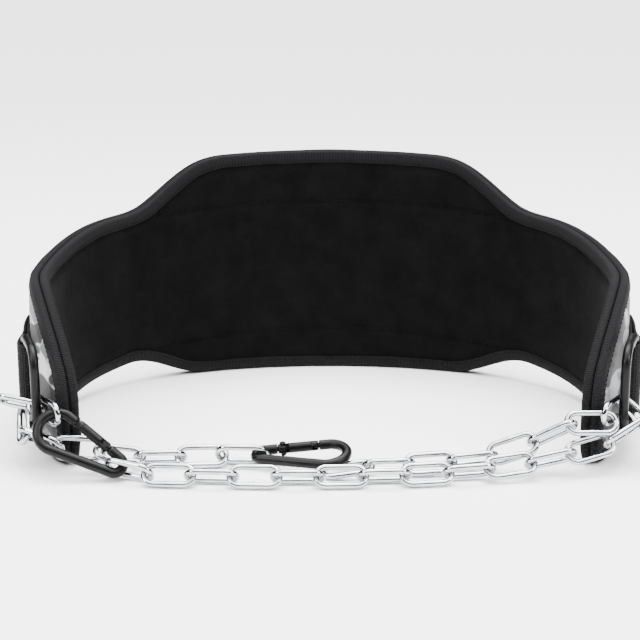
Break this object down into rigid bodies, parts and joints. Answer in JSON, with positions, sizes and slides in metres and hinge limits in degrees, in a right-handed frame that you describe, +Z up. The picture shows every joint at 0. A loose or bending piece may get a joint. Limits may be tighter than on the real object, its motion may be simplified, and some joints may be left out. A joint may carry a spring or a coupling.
{
  "type": "dip belt",
  "caption": "Padded lifting belt with a camo shell and humped back, a D-ring at each end and a steel chain with two snap hooks lying in front.",
  "frame": {"origin": "middle of the bounding box, on the floor the belt stands on", "axes": "+X to the right, +Y towards the back of the belt, +Z up; the open front with the chain faces -Y"},
  "size_m": [0.4528, 0.3114, 0.182],
  "materials": {
    "camo_cloth": "matt woven camo cloth",
    "lining_cloth": "matt brushed cloth",
    "binding_tape": "ribbed tape",
    "webbing": "woven webbing",
    "black_steel": "satin black",
    "zinc_steel": "bright zinc plate"
  },
  "bodies": {
    "belt": {"outer_shell": "camo_cloth", "inner_pad": "lining_cloth", "outer_binding": "binding_tape", "inner_binding": "binding_tape", "webbing_strap": "webbing", "d_ring_left": "black_steel", "d_ring_right": "black_steel", "chain_link_01": "zinc_steel", "chain_link_02": "zinc_steel", "chain_link_03": "zinc_steel", "chain_link_04": "zinc_steel", "chain_link_05": "zinc_steel", "chain_link_06": "zinc_steel", "chain_link_07": "zinc_steel", "chain_link_08": "zinc_steel", "chain_link_09": "zinc_steel", "chain_link_10": "zinc_steel", "chain_link_11": "zinc_steel", "chain_link_12": "zinc_steel", "chain_link_13": "zinc_steel", "chain_link_14": "zinc_steel", "chain_link_15": "zinc_steel", "chain_link_16": "zinc_steel", "chain_link_17": "zinc_steel", "chain_link_18": "zinc_steel", "chain_link_19": "zinc_steel", "chain_link_20": "zinc_steel", "chain_link_21": "zinc_steel", "chain_link_22": "zinc_steel", "chain_link_23": "zinc_steel", "chain_link_24": "zinc_steel", "chain_link_25": "zinc_steel", "chain_link_26": "zinc_steel", "chain_link_27": "zinc_steel", "chain_link_28": "zinc_steel", "chain_link_29": "zinc_steel", "chain_link_30": "zinc_steel", "chain_link_31": "zinc_steel", "hook_middle_frame": "black_steel", "hook_middle_rivet": "black_steel", "hook_left_frame": "black_steel", "hook_left_rivet": "black_steel"},
    "middle_gate": {"hook_middle_gate": "black_steel"},
    "left_gate": {"hook_left_gate": "black_steel"}
  },
  "joints": [
    {"name": "middle_gate_hinge", "type": "hinge", "parent": "belt", "child": "middle_gate", "pos_m": [-0.02936, -0.10294, 0.01078], "axis": [0.1067, 0.1911, -0.9758], "range_deg": [0, 25], "stiffness_Nm_per_rad": 0.02, "springref_deg": -28.65},
    {"name": "left_gate_hinge", "type": "hinge", "parent": "belt", "child": "left_gate", "pos_m": [-0.14726, -0.12736, 0.02112], "axis": [0.1444, -0.7877, 0.5988], "range_deg": [0, 25], "stiffness_Nm_per_rad": 0.02, "springref_deg": -28.65}
  ]
}
